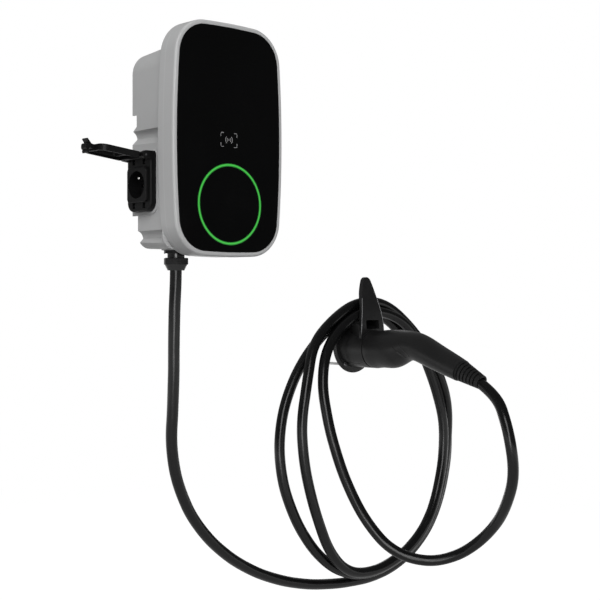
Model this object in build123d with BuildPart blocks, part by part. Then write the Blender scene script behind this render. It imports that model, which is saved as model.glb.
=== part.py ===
from build123d import *
import os
from math import cos, radians, sin, tan

os.makedirs("parts", exist_ok=True)

# A wall charging station for electric cars: the box, its tethered cable with a plug, and the
# holster on the same wall. Millimetres. X runs along the wall, Z is up, the wall is the plane
# Y = 0 and the room lies on the -Y side. The origin is on the wall behind the front's centre.
# A depth is a distance from the wall, so a plane at depth d is Plane.XZ.offset(d).

# Front cover and glass
parting_depth = 91.0
cover_height = 24.0
glass_half_width = 94.4
glass_half_height = 161.5
glass_side_bow = 8.1
glass_top_bow = 3.7
glass_corner = 46.8
glass_depth = parting_depth + cover_height
glass_thickness = 4.0
glass_gap = 0.3
bezel_border = 6.6
bezel_wall = 3.0
bezel_edge_round = 3.5
bezel_ledge_width = 8.0
bezel_ledge_thickness = 2.5
bezel_lip_setback = 0.6

# Light ring in the glass
ring_radius = 56.6
ring_width = 4.2
ring_bottom_inset = 68.9
ring_centre_z = ring_bottom_inset - glass_half_height
ring_groove = 2.4
ring_board_inner = 48.0
ring_board_outer = 60.4
board_thickness = 1.6
led_height = 1.0
led_count = 16

# Card reader board behind the glass
reader_centre_z = 29.0
reader_width = 56.0
reader_height = 44.0

# Rear housing
flange_height = 12.5
flange_back_depth = parting_depth - flange_height
flange_rim = 7.0
flange_plate = 3.0
rim_depth = 1.5
body_rear_half_width = 91.0
body_front_half_width = 93.3
body_rear_top = 130.0
body_rear_bottom = -155.4
body_front_top = 136.0
body_front_bottom = -158.3
body_top_corner = 33.0
body_bottom_corner = 20.0
housing_wall = 3.0
back_wall_depth = 17.0
back_wall = 3.0
cove_depth = 8.5
upper_cove_top = 14.8
lower_cove_top = -130.5
cove_height = 22.0
cove_floor_drop = 11.0
upper_notch_top = 38.0
upper_notch_bottom = 21.0
upper_notch_slant = 8.0
upper_notch_depth = 12.5
lower_notch_top = -108.5
lower_notch_depth = 16.0
gasket_inset = 1.0
gasket_width = 1.6
gasket_height = 2.0
column_side_inset = 12.4
column_top_inset = 63.5
column_bottom_inset = 45.5
column_x = glass_half_width - column_side_inset
column_z = (glass_half_height - column_top_inset, column_bottom_inset - glass_half_height)
column_radius = 5.5
cover_screw_radius = 2.0
cover_screw_head_radius = 3.5
cover_screw_head = 2.8
cover_screw_grip = 8.0
cover_screw_bite = 10.0

# Wall bracket
bracket_half_width = 78.8
bracket_top = 96.0
bracket_bottom = -133.0
bracket_corner = 12.0
bracket_sheet = 1.5
bracket_flange_depth = 14.0
bracket_lip = 9.0
bracket_hole_radius = 3.25
bracket_hole_x = 110.0
bracket_hole_z = 180.0
bracket_window_width = 64.0
bracket_window_height = 76.0
bracket_window_z = -78.0
hook_gap = 0.4
hook_rib = 3.0

# Boards and what they carry
main_board_depth = 58.0
main_board_width = 140.0
main_board_height = 104.0
main_board_centre_z = 62.0
standoff_radius = 4.0
standoff_inset = 8.0
board_screw_radius = 1.5
board_screw_head = 2.75
relay_width = 28.0
relay_length = 32.0
relay_height = 22.0
relay_pitch = 32.0
terminal_pitch = 13.0
terminal_count = 5
rail_width = 35.0
rail_length = 92.0
rail_height = 7.5
rail_sheet = 1.2
rail_centre_x = 26.0
rail_centre_z = -72.0
breaker_width = 54.0
breaker_height = 86.0
breaker_depth = 58.0
breaker_nose_height = 45.0
breaker_nose_depth = 14.0

# Side socket
pad_stand_out = 1.7
pad_face_x = body_front_half_width + pad_stand_out
pad_margin = 3.0
frame_centre_depth = 37.0
frame_centre_z = -61.5
frame_width = 58.0
frame_height = 85.0
frame_thickness = 9.5
frame_low_corner = 14.0
frame_top_corner = 4.0
insert_centre_z = -66.0
insert_width = 47.0
insert_height = 50.0
insert_plate = 4.5
insert_corner = 6.0
insert_body_radius = 22.5
insert_body_length = 5.8
insert_tail_radius = 16.5
insert_tail_length = 23.0
insert_gap = 0.5
recess_radius = 19.6
recess_depth = 17.0
contact_spacing = 19.0
contact_hole_radius = 2.6
contact_outer_radius = 3.4
contact_wall = 0.8
contact_floor = 2.5
earth_radius = 2.4
earth_offset = 10.0
earth_length = 14.0
earth_root = 12.0
pocket_centre_z = -64.3
pocket_offset_depth = 12.5
pocket_offset_z = 31.2
pocket_width = 6.5
pocket_height = 8.0
pocket_depth = 5.0
socket_screw_radius = 1.4
socket_screw_head = 2.7
socket_screw_head_height = 2.0
socket_screw_bite = 3.0
ear_width = 6.0
ear_radius = 6.0
ear_foot = 1.0
socket_seal = 1.0

# Socket lid, which stands open
hinge_stand_out = 17.0
hinge_x = -(pad_face_x + hinge_stand_out)
hinge_z = -25.0
lid_opening = 96.5
lid_start = 7.5
lid_length = 71.0
lid_width = 51.0
lid_outer = 3.0
lid_rim = 6.4
lid_wall = 1.7
lid_corner = 11.0
lid_edge_round = 1.2
knuckle_radius = 5.0
knuckle_gap = 0.6
pin_radius = 1.5
pin_gap = 0.06
latch_width = 13.0
seal_ring_width = 44.0
seal_ring_height = 46.0
seal_width = 2.0
seal_gap = 0.15

# Cable gland
gland_x = -52.0
gland_depth = 55.0
gland_boss_stand_out = 0.2
gland_face_z = body_front_bottom - gland_boss_stand_out
gland_boss_radius = 21.0
gland_boss_thickness = 6.0
gland_boss_inner_z = gland_face_z + gland_boss_thickness
gland_thread_radius = 12.4
gland_hole_gap = 0.2
gland_flats = 33.0
gland_collar = 5.0
gland_neck = 6.0
gland_body_tail = 8.6
gland_nut_height = 9.6
gland_dome = 8.6
gland_dome_radius = 12.0
gland_seal_length = 5.0
locknut_height = 5.0
cable_gap = 0.25

# Cable
cable_radius = 8.7

# Holster
holster_x = 364.0
flange_z = -308.3
flange_radius = 48.3
flange_thickness = 4.0
flange_bevel = 2.8
flange_bevel_width = 4.2
hub_z = -310.5
hub_radius = 36.5
hub_depth = 14.0
sleeve_z = -314.0
sleeve_radius = 32.4
sleeve_depth = 51.0
sleeve_bore_radius = 28.6
sleeve_floor = 6.0
saddle_z = -264.8
saddle_drop = 9.9
saddle_thickness = 4.0
saddle_rear_half_width = 15.0
saddle_front_half_width = 26.0
saddle_front_depth = 42.0
web_thickness = 4.0
driver_radius = 4.3
driver_depth = 38.0
window_width = 30.0
window_height = 15.0
window_centre_z = -273.5
holster_screw_count = 5
holster_screw_pcd = 81.0
holster_screw_radius = 2.25
holster_screw_neck_radius = 2.0
holster_screw_head_radius = 3.6
holster_screw_head_height = 2.6
holster_screw_length = 38.0

# Plug in the holster
shell_wall = 3.0
nose_radius = 27.6
nose_flat = 22.0
nose_tip_depth = 10.0
nose_spigot_radius = 24.5
nose_spigot = 16.0
contact_row_z = 13.5
contact_bore_depth = 24.0
shell_end_wall = 5.0
boot_length = 44.0
boot_root_radius = 17.0
boot_tip_radius = 11.2
boot_neck_radius = 12.6
boot_neck_gap = 0.2
boot_flange_radius = 14.4
boot_flange = 3.0
boot_rib_count = 6
boot_rib_pitch = 6.4
boot_groove = 2.4
boot_groove_depth = 2.2
cable_in_boot = 4.0


def bowed_outline(half_width, half_height, side_bow, top_bow, corner):
    """A rounded rectangle whose four sides bulge outwards a little."""
    corner_x = half_width - side_bow
    corner_z = half_height - top_bow
    with BuildSketch() as outline:
        with BuildLine():
            ThreePointArc((corner_x, -corner_z), (half_width, 0), (corner_x, corner_z))
            ThreePointArc((corner_x, corner_z), (0, half_height), (-corner_x, corner_z))
            ThreePointArc((-corner_x, corner_z), (-half_width, 0), (-corner_x, -corner_z))
            ThreePointArc((-corner_x, -corner_z), (0, -half_height), (corner_x, -corner_z))
        make_face()
        fillet(outline.vertices(), corner)
    return outline.sketch


def outline_at(border):
    """The front outline grown on all sides; the bows grow with it so the gap stays even."""
    return bowed_outline(
        glass_half_width + border,
        glass_half_height + border,
        glass_side_bow + 0.090 * border,
        glass_top_bow + 0.074 * border,
        glass_corner + border,
    )


front_outline = outline_at(0)
bezel_outline = outline_at(bezel_border)
bezel_inside = outline_at(bezel_border - bezel_wall)
glass_seat = outline_at(glass_gap)
ledge_opening = outline_at(-bezel_ledge_width)
flange_inside = outline_at(bezel_border - flange_rim)
gasket_outside = outline_at(bezel_border - gasket_inset)
gasket_inside = outline_at(bezel_border - gasket_inset - gasket_width)
glass_back_depth = glass_depth - glass_thickness
ledge_back_depth = glass_back_depth - bezel_ledge_thickness
back_inner_depth = back_wall_depth + back_wall


# Glass panel, with a groove for the light ring
with BuildPart() as front_glass:
    with BuildSketch(Plane.XZ.offset(glass_back_depth)):
        add(front_outline)
    extrude(amount=glass_thickness)
    chamfer(front_glass.faces().sort_by(Axis.Y)[0].edges(), 0.5)
    with BuildSketch(Plane.XZ.offset(glass_depth)):
        with Locations((0, ring_centre_z)):
            Circle(ring_radius + ring_width / 2)
            Circle(ring_radius - ring_width / 2, mode=Mode.SUBTRACT)
    extrude(amount=-ring_groove, mode=Mode.SUBTRACT)
front_glass.part.label = "front_glass"

with BuildPart() as light_ring:
    with BuildSketch(Plane.XZ.offset(glass_depth - ring_groove)):
        with Locations((0, ring_centre_z)):
            Circle(ring_radius + ring_width / 2)
            Circle(ring_radius - ring_width / 2, mode=Mode.SUBTRACT)
    extrude(amount=ring_groove)
light_ring.part.label = "light_ring"

# Lamps on a ring board, against the back of the glass
led_front_depth = glass_back_depth
with BuildPart() as ring_leds:
    with BuildSketch(Plane.XZ.offset(led_front_depth - led_height)):
        with Locations((0, ring_centre_z)):
            with PolarLocations(ring_radius, led_count):
                Rectangle(3.5, 3.5)
    extrude(amount=led_height)
ring_leds.part.label = "ring_leds"

with BuildPart() as ring_light_board:
    with BuildSketch(Plane.XZ.offset(led_front_depth - led_height - board_thickness)):
        with Locations((0, ring_centre_z)):
            Circle(ring_board_outer)
            Circle(ring_board_inner, mode=Mode.SUBTRACT)
    extrude(amount=board_thickness)
ring_light_board.part.label = "ring_light_board"

with BuildPart() as card_reader_board:
    with BuildSketch(Plane.XZ.offset(glass_back_depth - board_thickness)):
        with Locations((0, reader_centre_z)):
            RectangleRounded(reader_width, reader_height, 3)
            RectangleRounded(reader_width - 18, reader_height - 18, 3, mode=Mode.SUBTRACT)
    extrude(amount=board_thickness)
card_reader_board.part.label = "card_reader_board"

# Front bezel: a moulded frame whose ledge carries the glass
with BuildPart() as front_bezel:
    with BuildSketch(Plane.XZ.offset(parting_depth)):
        add(bezel_outline)
    extrude(amount=glass_depth - bezel_lip_setback - parting_depth)
    fillet(front_bezel.faces().sort_by(Axis.Y)[0].edges(), bezel_edge_round)
    with BuildSketch(Plane.XZ.offset(glass_back_depth)):
        add(glass_seat)
    extrude(amount=glass_thickness, mode=Mode.SUBTRACT)
    with BuildSketch(Plane.XZ.offset(parting_depth)):
        add(bezel_inside)
    extrude(amount=ledge_back_depth - parting_depth, mode=Mode.SUBTRACT)
    with BuildSketch(Plane.XZ.offset(ledge_back_depth)):
        add(ledge_opening)
    extrude(amount=bezel_ledge_thickness, mode=Mode.SUBTRACT)
    with BuildSketch(Plane.XZ.offset(parting_depth)):
        with Locations(*[(s * column_x, z) for s in (-1, 1) for z in column_z]):
            Circle(column_radius)
    extrude(amount=ledge_back_depth - parting_depth)
    with BuildSketch(Plane.XZ.offset(parting_depth)):
        with Locations(*[(s * column_x, z) for s in (-1, 1) for z in column_z]):
            Circle(cover_screw_radius)
    extrude(amount=cover_screw_bite + 1, mode=Mode.SUBTRACT)
front_bezel.part.label = "front_bezel"

# Seal in a groove of the rear housing's rim, under the bezel's edge
with BuildPart() as housing_gasket:
    with BuildSketch(Plane.XZ.offset(parting_depth - gasket_height)):
        add(gasket_outside)
        add(gasket_inside, mode=Mode.SUBTRACT)
    extrude(amount=gasket_height)
housing_gasket.part.label = "housing_gasket"


def body_section(half_width, top, bottom, inset):
    """The rear body's outline at one depth, or one that lies inset inside it."""
    with BuildSketch() as section:
        with Locations((0, (top + bottom) / 2)):
            Rectangle(2 * (half_width - inset), top - bottom - 2 * inset)
        fillet(section.vertices().group_by(Axis.Y)[-1], body_top_corner - inset)
        fillet(section.vertices().group_by(Axis.Y)[0], body_bottom_corner - inset)
    return section.sketch


def body_at(depth, inset):
    """The tapered body's outline worked out for any depth."""
    share = (depth - rim_depth) / (flange_back_depth - rim_depth)
    half_width = body_rear_half_width + share * (body_front_half_width - body_rear_half_width)
    top = body_rear_top + share * (body_front_top - body_rear_top)
    bottom = body_rear_bottom + share * (body_front_bottom - body_rear_bottom)
    return body_section(half_width, top, bottom, inset)


def cove_profile(top, inset):
    """A side groove's section on the left: a hollow flank down from a sharp top edge to the
    deepest line, and a shorter flank back out. A positive inset gives the wall behind it."""
    edge_x = -(body_rear_half_width - cove_depth) + inset
    outer_x = -(body_front_half_width + 12)
    floor_z = top - cove_floor_drop
    with BuildSketch() as profile:
        with BuildLine():
            Polyline((outer_x, top + inset), (-body_front_half_width, top + inset))
            ThreePointArc(
                (-body_front_half_width, top + inset),
                (-body_front_half_width + 0.78 * (cove_depth + 2.3) + inset, top - 0.42 * cove_floor_drop),
                (edge_x, floor_z),
            )
            Line((edge_x, floor_z), (-body_front_half_width, top - cove_height - inset))
            Polyline(
                (-body_front_half_width, top - cove_height - inset),
                (outer_x, top - cove_height - inset),
                (outer_x, top + inset),
            )
        make_face()
        mirror(about=Plane.YZ)
    return profile.sketch


outer_rear = body_at(rim_depth, 0)
outer_front = body_at(flange_back_depth + 1, 0)
inner_rear = body_at(back_inner_depth, housing_wall)
inner_front = body_at(flange_back_depth + flange_plate + 1, housing_wall)
pocket_rear = body_at(rim_depth, housing_wall)
pocket_front = body_at(back_wall_depth, housing_wall)
cove_cuts = [cove_profile(top, 0) for top in (upper_cove_top, lower_cove_top)]
cove_walls = [cove_profile(top, housing_wall) for top in (upper_cove_top, lower_cove_top)]
column_spots = [(s * column_x, z) for s in (-1, 1) for z in column_z]
standoff_spots = [
    (sx * (main_board_width / 2 - standoff_inset), main_board_centre_z + sz * (main_board_height / 2 - standoff_inset))
    for sx in (-1, 1)
    for sz in (-1, 1)
]
pocket_spots = [
    (frame_centre_depth + s * pocket_offset_depth, pocket_centre_z + t * pocket_offset_z)
    for s in (-1, 1)
    for t in (-1, 1)
]
side_plane = Plane(origin=(-pad_face_x, 0, 0), x_dir=(0, -1, 0), z_dir=(-1, 0, 0))
bottom_plane = Plane(origin=(gland_x, -gland_depth, 0), x_dir=(1, 0, 0), z_dir=(0, 0, 1))

# The hollow of the rear housing, with walls left behind the side grooves
with BuildPart() as housing_hollow:
    with BuildSketch(Plane.XZ.offset(back_inner_depth)):
        add(inner_rear)
    with BuildSketch(Plane.XZ.offset(flange_back_depth + flange_plate + 1)):
        add(inner_front)
    loft()
    for wall in cove_walls:
        with BuildSketch(Plane.XZ.offset(back_inner_depth)):
            add(wall)
        extrude(amount=parting_depth - back_inner_depth, mode=Mode.SUBTRACT)
    with BuildSketch(Plane.XZ.offset(flange_back_depth + flange_plate)):
        add(flange_inside)
    extrude(amount=parting_depth - flange_back_depth)

# The pocket at the back that takes the wall bracket
with BuildPart() as bracket_pocket:
    with BuildSketch(Plane.XZ.offset(rim_depth - 0.01)):
        add(pocket_rear)
    with BuildSketch(Plane.XZ.offset(back_wall_depth)):
        add(pocket_front)
    loft()
    for wall in cove_walls:
        with BuildSketch(Plane.XZ.offset(0)):
            add(wall)
        extrude(amount=back_wall_depth, mode=Mode.SUBTRACT)

lip_z = bracket_top + bracket_lip
with BuildPart() as rear_housing:
    with BuildSketch(Plane.XZ.offset(rim_depth)):
        add(outer_rear)
    with BuildSketch(Plane.XZ.offset(flange_back_depth + 1)):
        add(outer_front)
    loft()
    for cut in cove_cuts:
        with BuildSketch(Plane.XZ.offset(0)):
            add(cut)
        extrude(amount=flange_back_depth, mode=Mode.SUBTRACT)
    with BuildSketch(Plane.XZ.offset(flange_back_depth)):
        add(bezel_outline)
    extrude(amount=parting_depth - flange_back_depth)
    add(housing_hollow.part, mode=Mode.SUBTRACT)
    add(bracket_pocket.part, mode=Mode.SUBTRACT)
    # Pad under the side socket
    with BuildSketch(side_plane):
        with Locations((frame_centre_depth, frame_centre_z)):
            RectangleRounded(frame_width + 2 * pad_margin, frame_height + 2 * pad_margin, frame_low_corner)
    extrude(amount=-(pad_face_x - body_rear_half_width + housing_wall / 2))
    with BuildSketch(side_plane):
        with Locations((frame_centre_depth, insert_centre_z)):
            Circle(insert_body_radius + insert_gap)
    extrude(amount=-(insert_body_length + 0.9), mode=Mode.SUBTRACT)
    with BuildSketch(side_plane):
        with Locations(*pocket_spots):
            Circle(socket_screw_radius + 0.02)
    extrude(amount=-(socket_screw_bite + 0.3), mode=Mode.SUBTRACT)
    # Columns for the cover screws, hollow from the back
    with BuildSketch(Plane.XZ.offset(back_wall_depth)):
        with Locations(*column_spots):
            Circle(column_radius)
    extrude(amount=parting_depth - back_wall_depth)
    with BuildSketch(Plane.XZ.offset(back_wall_depth)):
        with Locations(*column_spots):
            Circle(cover_screw_head_radius + 0.3)
    extrude(amount=parting_depth - cover_screw_grip - back_wall_depth, mode=Mode.SUBTRACT)
    with BuildSketch(Plane.XZ.offset(back_wall_depth)):
        with Locations(*column_spots):
            Circle(cover_screw_radius)
    extrude(amount=parting_depth - back_wall_depth, mode=Mode.SUBTRACT)
    # Standoffs for the main board
    with BuildSketch(Plane.XZ.offset(back_inner_depth)):
        with Locations(*standoff_spots):
            Circle(standoff_radius)
    extrude(amount=main_board_depth - back_inner_depth)
    with BuildSketch(Plane.XZ.offset(main_board_depth)):
        with Locations(*standoff_spots):
            Circle(board_screw_radius)
    extrude(amount=-9, mode=Mode.SUBTRACT)
    # Ribs that hang over the bracket's lip
    with BuildSketch(Plane.YZ.offset(-bracket_hole_x / 2 + 10)):
        with BuildLine():
            Polyline(
                (-back_wall_depth - 0.5, lip_z + hook_gap),
                (-back_wall_depth - 0.5, lip_z + hook_gap + hook_rib),
                (-bracket_flange_depth + bracket_sheet + hook_gap + hook_rib, lip_z + hook_gap + hook_rib),
                (-bracket_flange_depth + bracket_sheet + hook_gap + hook_rib, bracket_top + 3),
                (-bracket_flange_depth + bracket_sheet + hook_gap, bracket_top + 3),
                (-bracket_flange_depth + bracket_sheet + hook_gap, lip_z + hook_gap),
                close=True,
            )
        make_face()
    extrude(amount=bracket_hole_x - 20)
    # Gland boss in the bottom
    with BuildSketch(bottom_plane.offset(gland_face_z)):
        Circle(gland_boss_radius)
    extrude(amount=gland_boss_inner_z - gland_face_z)
    with BuildSketch(bottom_plane.offset(gland_face_z)):
        Circle(gland_thread_radius + gland_hole_gap)
    extrude(amount=gland_boss_inner_z - gland_face_z + 6, mode=Mode.SUBTRACT)
    # The rear rim is cut back beside the bracket: a window that ends in a slant, and the whole bottom
    with BuildSketch(Plane.YZ):
        with BuildLine():
            Polyline(
                (0, upper_notch_top),
                (-upper_notch_depth, upper_notch_top),
                (-upper_notch_depth, upper_notch_bottom),
                (-rim_depth, upper_notch_bottom - upper_notch_slant),
                (0, upper_notch_bottom - upper_notch_slant),
                close=True,
            )
        make_face()
        with Locations((0, lower_notch_top)):
            Rectangle(
                2 * lower_notch_depth,
                lower_notch_top - body_rear_bottom + flange_rim,
                align=(Align.CENTER, Align.MAX),
            )
    extrude(amount=body_front_half_width + flange_rim, both=True, mode=Mode.SUBTRACT)
    # Groove of the front seal
    add(housing_gasket.part, mode=Mode.SUBTRACT)
rear_housing.part.label = "rear_housing"

with BuildPart() as cover_screws:
    with BuildSketch(Plane.XZ.offset(parting_depth - cover_screw_grip)):
        with Locations(*column_spots):
            Circle(cover_screw_radius - 0.02)
    extrude(amount=cover_screw_grip + cover_screw_bite)
    with BuildSketch(Plane.XZ.offset(parting_depth - cover_screw_grip)):
        with Locations(*column_spots):
            Circle(cover_screw_head_radius)
    extrude(amount=-cover_screw_head)
cover_screws.part.label = "cover_screws"

# Wall bracket: folded sheet with a lip that the housing hangs on
bracket_mid_z = (bracket_top + bracket_bottom) / 2
bracket_tall = bracket_top - bracket_bottom
with BuildPart() as wall_bracket:
    with BuildSketch(Plane.XZ):
        with Locations((0, bracket_mid_z)):
            RectangleRounded(2 * bracket_half_width, bracket_tall, bracket_corner)
    extrude(amount=bracket_flange_depth)
    with BuildSketch(Plane.XZ.offset(bracket_sheet)):
        with Locations((0, bracket_mid_z)):
            RectangleRounded(
                2 * (bracket_half_width - bracket_sheet),
                bracket_tall - 2 * bracket_sheet,
                bracket_corner - bracket_sheet,
            )
    extrude(amount=bracket_flange_depth, mode=Mode.SUBTRACT)
    with BuildSketch(Plane.XZ.offset(bracket_flange_depth - bracket_sheet)):
        with Locations((0, bracket_top + bracket_lip / 2 - bracket_sheet / 2)):
            Rectangle(2 * (bracket_half_width - bracket_corner), bracket_lip + bracket_sheet)
    extrude(amount=bracket_sheet)
    with BuildSketch(Plane.XZ):
        with Locations((0, bracket_window_z)):
            RectangleRounded(bracket_window_width, bracket_window_height, 6)
        with Locations((0, bracket_mid_z)):
            with GridLocations(bracket_hole_x, bracket_hole_z, 2, 2):
                Circle(bracket_hole_radius)
    extrude(amount=bracket_sheet, mode=Mode.SUBTRACT)
wall_bracket.part.label = "wall_bracket"

# Main board with its relays and terminals
with BuildPart() as main_board:
    with BuildSketch(Plane.XZ.offset(main_board_depth)):
        with Locations((0, main_board_centre_z)):
            RectangleRounded(main_board_width, main_board_height, 3)
        with Locations(*standoff_spots):
            Circle(board_screw_radius + 0.2, mode=Mode.SUBTRACT)
    extrude(amount=board_thickness)
main_board.part.label = "main_board"

board_top_depth = main_board_depth + board_thickness
with BuildPart() as board_screws:
    with BuildSketch(Plane.XZ.offset(main_board_depth - 7)):
        with Locations(*standoff_spots):
            Circle(board_screw_radius - 0.02)
    extrude(amount=7 + board_thickness)
    with BuildSketch(Plane.XZ.offset(board_top_depth)):
        with Locations(*standoff_spots):
            Circle(board_screw_head)
    extrude(amount=2)
board_screws.part.label = "board_screws"

relay_row_z = main_board_centre_z + 20
with BuildPart() as power_relays:
    with BuildSketch(Plane.XZ.offset(board_top_depth)):
        with Locations((0, relay_row_z)):
            with GridLocations(relay_pitch, 1, 3, 1):
                RectangleRounded(relay_width, relay_length, 1.5)
    extrude(amount=relay_height)
    chamfer(power_relays.faces().group_by(Axis.Y)[0].edges(), 1)
power_relays.part.label = "power_relays"

terminal_z = main_board_centre_z - main_board_height / 2 + 13
with BuildPart() as terminal_block:
    with BuildSketch(Plane.XZ.offset(board_top_depth)):
        with Locations((0, terminal_z)):
            Rectangle(terminal_pitch * terminal_count, 18)
    extrude(amount=20)
    with BuildSketch(Plane.XZ.offset(board_top_depth + 20)):
        with Locations((0, terminal_z)):
            with GridLocations(terminal_pitch, 1, terminal_count, 1):
                Circle(3)
    extrude(amount=-12, mode=Mode.SUBTRACT)
    with BuildSketch(Plane.XY.offset(terminal_z - 9)):
        with Locations((0, -(board_top_depth + 7))):
            with GridLocations(terminal_pitch, 1, terminal_count, 1):
                Rectangle(8, 8)
    extrude(amount=13, mode=Mode.SUBTRACT)
terminal_block.part.label = "terminal_block"

# Rail on the back wall and the breaker that guards the side socket
with BuildPart() as din_rail:
    with BuildSketch(Plane.YZ.offset(rail_centre_x - rail_length / 2)):
        with BuildLine():
            base = -back_inner_depth
            half = rail_width / 2
            Polyline(
                (base, rail_centre_z - 12.5),
                (base, rail_centre_z + 12.5),
                (base - rail_height + rail_sheet, rail_centre_z + 12.5),
                (base - rail_height + rail_sheet, rail_centre_z + half),
                (base - rail_height, rail_centre_z + half),
                (base - rail_height, rail_centre_z + 12.5 - rail_sheet),
                (base - rail_sheet, rail_centre_z + 12.5 - rail_sheet),
                (base - rail_sheet, rail_centre_z - 12.5 + rail_sheet),
                (base - rail_height, rail_centre_z - 12.5 + rail_sheet),
                (base - rail_height, rail_centre_z - half),
                (base - rail_height + rail_sheet, rail_centre_z - half),
                (base - rail_height + rail_sheet, rail_centre_z - 12.5),
                close=True,
            )
        make_face()
    extrude(amount=rail_length)
din_rail.part.label = "din_rail"

breaker_back = back_inner_depth + rail_height
with BuildPart() as socket_breaker:
    with BuildSketch(Plane.XZ.offset(breaker_back)):
        with Locations((rail_centre_x, rail_centre_z)):
            Rectangle(breaker_width, breaker_height)
    extrude(amount=breaker_depth - breaker_nose_depth)
    with BuildSketch(Plane.XZ.offset(breaker_back + breaker_depth - breaker_nose_depth)):
        with Locations((rail_centre_x, rail_centre_z)):
            Rectangle(breaker_width, breaker_nose_height)
    extrude(amount=breaker_nose_depth)
    fillet(socket_breaker.edges().filter_by(Axis.X), 1)
    with BuildSketch(Plane.XZ.offset(breaker_back + breaker_depth)):
        with Locations((rail_centre_x, rail_centre_z)):
            with GridLocations(breaker_width / 3, 1, 3, 1):
                Rectangle(8, 18)
    extrude(amount=-4, mode=Mode.SUBTRACT)
socket_breaker.part.label = "socket_breaker"

# Frame of the side socket, with two ears for the lid's hinge
ear_spots = [
    frame_centre_depth - frame_width / 2,
    frame_centre_depth + frame_width / 2 - ear_width,
]
frame_face_x = pad_face_x + frame_thickness
with BuildPart() as socket_frame:
    with BuildSketch(side_plane) as frame_outline:
        with Locations((frame_centre_depth, frame_centre_z)):
            Rectangle(frame_width, frame_height)
        fillet(frame_outline.vertices().group_by(Axis.Y)[0], frame_low_corner)
        fillet(frame_outline.vertices().group_by(Axis.Y)[-1], frame_top_corner)
    extrude(amount=frame_thickness)
    fillet(socket_frame.faces().sort_by(Axis.X)[0].edges().group_by(Axis.Z)[0], 2)
    for ear in ear_spots:
        with BuildSketch(Plane.XZ.offset(ear)):
            with Locations((hinge_x, hinge_z)):
                Circle(ear_radius)
            with BuildLine():
                Polyline(
                    (hinge_x, hinge_z + ear_radius),
                    (-pad_face_x - 2, hinge_z + ear_radius),
                    (-pad_face_x - 2, hinge_z - ear_radius - ear_foot),
                    (-frame_face_x, hinge_z - ear_radius - ear_foot),
                    (hinge_x, hinge_z - ear_radius),
                    close=True,
                )
            make_face()
        extrude(amount=ear_width)
    with BuildSketch(side_plane.offset(frame_thickness)):
        with Locations(*pocket_spots):
            Rectangle(pocket_width, pocket_height)
    extrude(amount=-pocket_depth, mode=Mode.SUBTRACT)
    with BuildSketch(side_plane):
        with Locations((frame_centre_depth, insert_centre_z)):
            Circle(insert_body_radius + insert_gap)
        with Locations(*pocket_spots):
            Circle(socket_screw_radius + 0.2)
    extrude(amount=frame_thickness, mode=Mode.SUBTRACT)
    # Seat of the rubber seal behind the frame
    with BuildSketch(side_plane):
        with Locations((frame_centre_depth, insert_centre_z)):
            Circle(insert_body_radius + 5)
    extrude(amount=socket_seal, mode=Mode.SUBTRACT)
    # Bores for the lid's pin
    with BuildSketch(Plane.XZ.offset(0)):
        with Locations((hinge_x, hinge_z)):
            Circle(pin_radius + 0.01)
    extrude(amount=frame_centre_depth + frame_width, mode=Mode.SUBTRACT)
socket_frame.part.label = "socket_frame"

with BuildPart() as socket_gasket:
    with BuildSketch(side_plane):
        with Locations((frame_centre_depth, insert_centre_z)):
            Circle(insert_body_radius + 5)
            Circle(insert_body_radius + insert_gap, mode=Mode.SUBTRACT)
    extrude(amount=socket_seal)
socket_gasket.part.label = "socket_gasket"

with BuildPart() as socket_screws:
    with BuildSketch(side_plane.offset(frame_thickness - pocket_depth)):
        with Locations(*pocket_spots):
            Circle(socket_screw_head)
    extrude(amount=socket_screw_head_height)
    with BuildSketch(side_plane.offset(frame_thickness - pocket_depth)):
        with Locations(*pocket_spots):
            Circle(socket_screw_radius)
    extrude(amount=-(frame_thickness - pocket_depth + socket_screw_bite))
socket_screws.part.label = "socket_screws"

# Socket insert with the round plug recess
contact_spots = [(frame_centre_depth + s * contact_spacing / 2, insert_centre_z) for s in (-1, 1)]
insert_face = frame_thickness + insert_plate
recess_floor = insert_face - recess_depth
insert_step = -insert_body_length
insert_tail = -insert_tail_length
with BuildPart() as socket_insert:
    with BuildSketch(side_plane.offset(frame_thickness)):
        with Locations((frame_centre_depth, insert_centre_z)):
            RectangleRounded(insert_width, insert_height, insert_corner)
    extrude(amount=insert_plate)
    fillet(socket_insert.faces().sort_by(Axis.X)[0].edges(), 1)
    with BuildSketch(side_plane.offset(insert_step)):
        with Locations((frame_centre_depth, insert_centre_z)):
            Circle(insert_body_radius)
    extrude(amount=frame_thickness - insert_step)
    with BuildSketch(side_plane.offset(insert_tail)):
        with Locations((frame_centre_depth, insert_centre_z)):
            Circle(insert_tail_radius)
    extrude(amount=insert_step - insert_tail)
    with BuildSketch(side_plane.offset(insert_face)):
        with Locations((frame_centre_depth, insert_centre_z)):
            Circle(recess_radius)
    extrude(amount=-recess_depth, mode=Mode.SUBTRACT)
    with BuildSketch(side_plane.offset(recess_floor)):
        with Locations(*contact_spots):
            Circle(contact_hole_radius)
    extrude(amount=-contact_floor, mode=Mode.SUBTRACT)
    with BuildSketch(side_plane.offset(insert_tail)):
        with Locations(*contact_spots):
            Circle(contact_outer_radius)
    extrude(amount=recess_floor - contact_floor - insert_tail, mode=Mode.SUBTRACT)
    with BuildSketch(side_plane.offset(recess_floor)):
        with Locations((frame_centre_depth, insert_centre_z + earth_offset)):
            Circle(earth_radius)
    extrude(amount=-earth_root, mode=Mode.SUBTRACT)
socket_insert.part.label = "socket_insert"

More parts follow.
